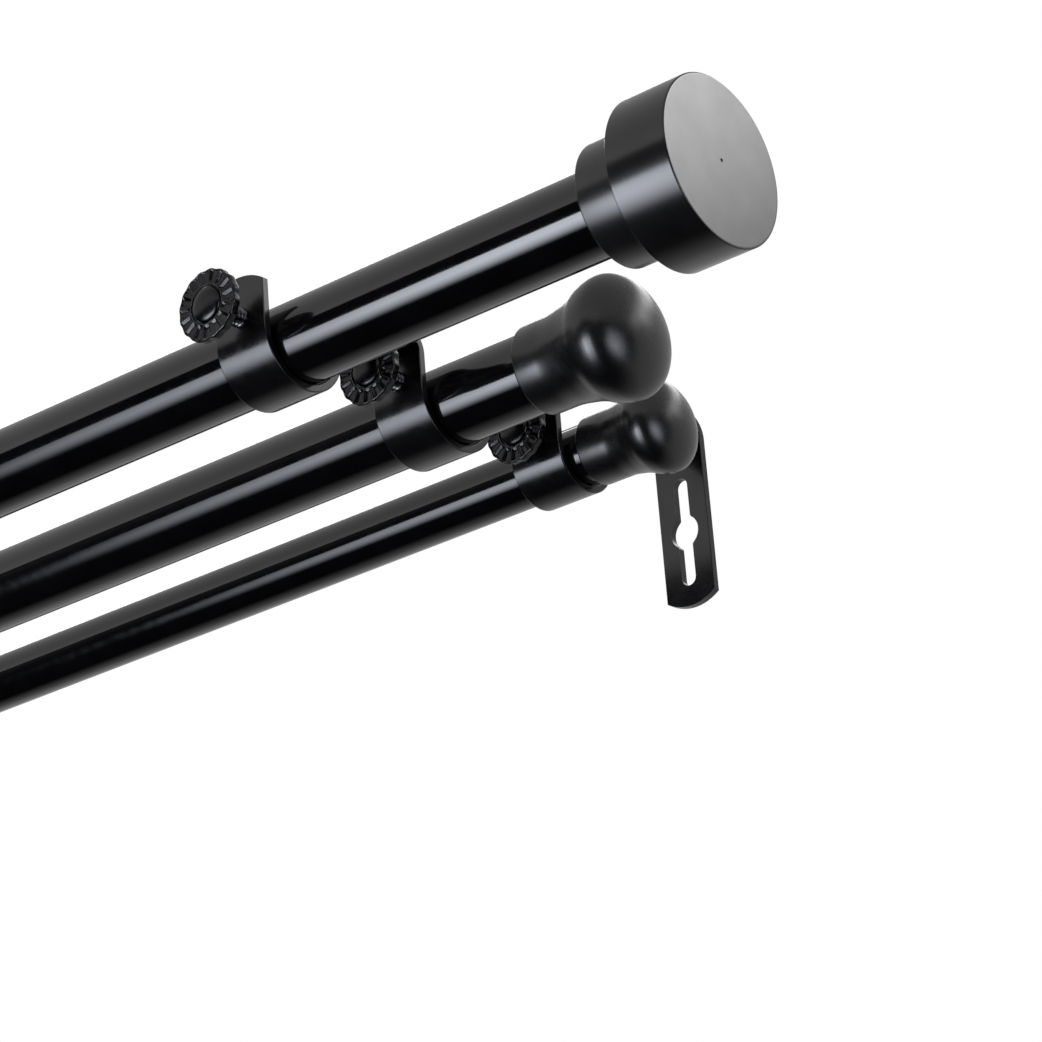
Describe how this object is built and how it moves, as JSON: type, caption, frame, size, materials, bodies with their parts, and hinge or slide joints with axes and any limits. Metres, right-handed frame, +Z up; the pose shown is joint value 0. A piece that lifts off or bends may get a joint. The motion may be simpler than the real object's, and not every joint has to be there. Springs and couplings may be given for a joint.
{
  "type": "curtain rod with brackets",
  "caption": "Black telescoping curtain rods in stepped wall brackets of bent strap, held by thumbscrews, with domed knobs and a round stepped cap as finials.",
  "frame": {"origin": "on the wall plane, midway between the two brackets, level with the rods' axes", "axes": "+X along the rods to their fixed ends, +Y into the wall, +Z up"},
  "size_m": [0.7836, 0.2266, 0.0642],
  "materials": {
    "rod_gloss_black": "gloss",
    "knob_satin_black": "satin",
    "finial_gunmetal": "satin",
    "bracket_coat": "satin powder coat",
    "screw_dark_metal": "dark oxide",
    "black_plastic": "matt",
    "pale_nylon": "matt",
    "zinc_steel": "zinc plated"
  },
  "bodies": {
    "frame": {"bracket_left": "bracket_coat", "bracket_right": "bracket_coat", "front_outer_tube": "rod_gloss_black", "front_guide_sleeve": "black_plastic", "front_right_plug": "pale_nylon", "front_right_finial_stud": "zinc_steel", "front_right_collar": "finial_gunmetal", "front_right_cap": "finial_gunmetal", "middle_outer_tube": "rod_gloss_black", "middle_guide_sleeve": "black_plastic", "middle_right_plug": "pale_nylon", "middle_right_finial_stud": "zinc_steel", "middle_right_knob": "knob_satin_black", "rear_outer_tube": "rod_gloss_black", "rear_guide_sleeve": "black_plastic", "rear_right_plug": "pale_nylon", "rear_right_finial_stud": "zinc_steel", "rear_right_knob": "knob_satin_black"},
    "front_slider": {"front_inner_tube": "rod_gloss_black", "front_glide_ring": "pale_nylon", "front_left_adapter": "black_plastic", "front_left_plug": "pale_nylon", "front_left_finial_stud": "zinc_steel", "front_left_collar": "finial_gunmetal", "front_left_cap": "finial_gunmetal"},
    "front_left_screw_travel": {"front_left_screw_stud": "screw_dark_metal"},
    "front_left_screw_turn": {"front_left_screw_head": "screw_dark_metal"},
    "front_right_screw_travel": {"front_right_screw_stud": "screw_dark_metal"},
    "front_right_screw_turn": {"front_right_screw_head": "screw_dark_metal"},
    "middle_slider": {"middle_inner_tube": "rod_gloss_black", "middle_glide_ring": "pale_nylon", "middle_left_adapter": "black_plastic", "middle_left_plug": "pale_nylon", "middle_left_finial_stud": "zinc_steel", "middle_left_knob": "knob_satin_black"},
    "middle_left_screw_travel": {"middle_left_screw_stud": "screw_dark_metal"},
    "middle_left_screw_turn": {"middle_left_screw_head": "screw_dark_metal"},
    "middle_right_screw_travel": {"middle_right_screw_stud": "screw_dark_metal"},
    "middle_right_screw_turn": {"middle_right_screw_head": "screw_dark_metal"},
    "rear_slider": {"rear_inner_tube": "rod_gloss_black", "rear_glide_ring": "pale_nylon", "rear_left_adapter": "black_plastic", "rear_left_plug": "pale_nylon", "rear_left_finial_stud": "zinc_steel", "rear_left_knob": "knob_satin_black"},
    "rear_left_screw_travel": {"rear_left_screw_stud": "screw_dark_metal"},
    "rear_left_screw_turn": {"rear_left_screw_head": "screw_dark_metal"},
    "rear_right_screw_travel": {"rear_right_screw_stud": "screw_dark_metal"},
    "rear_right_screw_turn": {"rear_right_screw_head": "screw_dark_metal"}
  },
  "joints": [
    {"name": "front_telescope", "type": "slide", "parent": "frame", "child": "front_slider", "axis": [-1, 0, 0], "range_m": [0, 0.508]},
    {"name": "front_left_screw_advance", "type": "slide", "parent": "frame", "child": "front_left_screw_travel", "axis": [0, -1, 0], "range_m": [0, 0.00255]},
    {"name": "front_left_screw_turning", "type": "hinge", "parent": "front_left_screw_travel", "child": "front_left_screw_turn", "pos_m": [-0.23, -0.195, 0.006], "axis": [0, -1, 0], "range_deg": [0, 720]},
    {"name": "front_right_screw_advance", "type": "slide", "parent": "frame", "child": "front_right_screw_travel", "axis": [0, -1, 0], "range_m": [0, 0.00255]},
    {"name": "front_right_screw_turning", "type": "hinge", "parent": "front_right_screw_travel", "child": "front_right_screw_turn", "pos_m": [0.23, -0.195, 0.006], "axis": [0, -1, 0], "range_deg": [0, 720]},
    {"name": "middle_telescope", "type": "slide", "parent": "frame", "child": "middle_slider", "axis": [-1, 0, 0], "range_m": [0, 0.38]},
    {"name": "middle_left_screw_advance", "type": "slide", "parent": "frame", "child": "middle_left_screw_travel", "axis": [0, -1, 0], "range_m": [0, 0.00255]},
    {"name": "middle_left_screw_turning", "type": "hinge", "parent": "middle_left_screw_travel", "child": "middle_left_screw_turn", "pos_m": [-0.23, -0.1266, 0.006], "axis": [0, -1, 0], "range_deg": [0, 720]},
    {"name": "middle_right_screw_advance", "type": "slide", "parent": "frame", "child": "middle_right_screw_travel", "axis": [0, -1, 0], "range_m": [0, 0.00255]},
    {"name": "middle_right_screw_turning", "type": "hinge", "parent": "middle_right_screw_travel", "child": "middle_right_screw_turn", "pos_m": [0.23, -0.1266, 0.006], "axis": [0, -1, 0], "range_deg": [0, 720]},
    {"name": "rear_telescope", "type": "slide", "parent": "frame", "child": "rear_slider", "axis": [-1, 0, 0], "range_m": [0, 0.33]},
    {"name": "rear_left_screw_advance", "type": "slide", "parent": "frame", "child": "rear_left_screw_travel", "axis": [0, -1, 0], "range_m": [0, 0.00255]},
    {"name": "rear_left_screw_turning", "type": "hinge", "parent": "rear_left_screw_travel", "child": "rear_left_screw_turn", "pos_m": [-0.23, -0.0652, 0.006], "axis": [0, -1, 0], "range_deg": [0, 720]},
    {"name": "rear_right_screw_advance", "type": "slide", "parent": "frame", "child": "rear_right_screw_travel", "axis": [0, -1, 0], "range_m": [0, 0.00255]},
    {"name": "rear_right_screw_turning", "type": "hinge", "parent": "rear_right_screw_travel", "child": "rear_right_screw_turn", "pos_m": [0.23, -0.0652, 0.006], "axis": [0, -1, 0], "range_deg": [0, 720]}
  ],
  "couplings": [
    {"joint": "front_left_screw_advance", "follows": "front_left_screw_turning", "m_per_rad": 0.00020213},
    {"joint": "front_right_screw_advance", "follows": "front_right_screw_turning", "m_per_rad": 0.00020213},
    {"joint": "middle_left_screw_advance", "follows": "middle_left_screw_turning", "m_per_rad": 0.00020213},
    {"joint": "middle_right_screw_advance", "follows": "middle_right_screw_turning", "m_per_rad": 0.00020213},
    {"joint": "rear_left_screw_advance", "follows": "rear_left_screw_turning", "m_per_rad": 0.00020213},
    {"joint": "rear_right_screw_advance", "follows": "rear_right_screw_turning", "m_per_rad": 0.00020213}
  ]
}
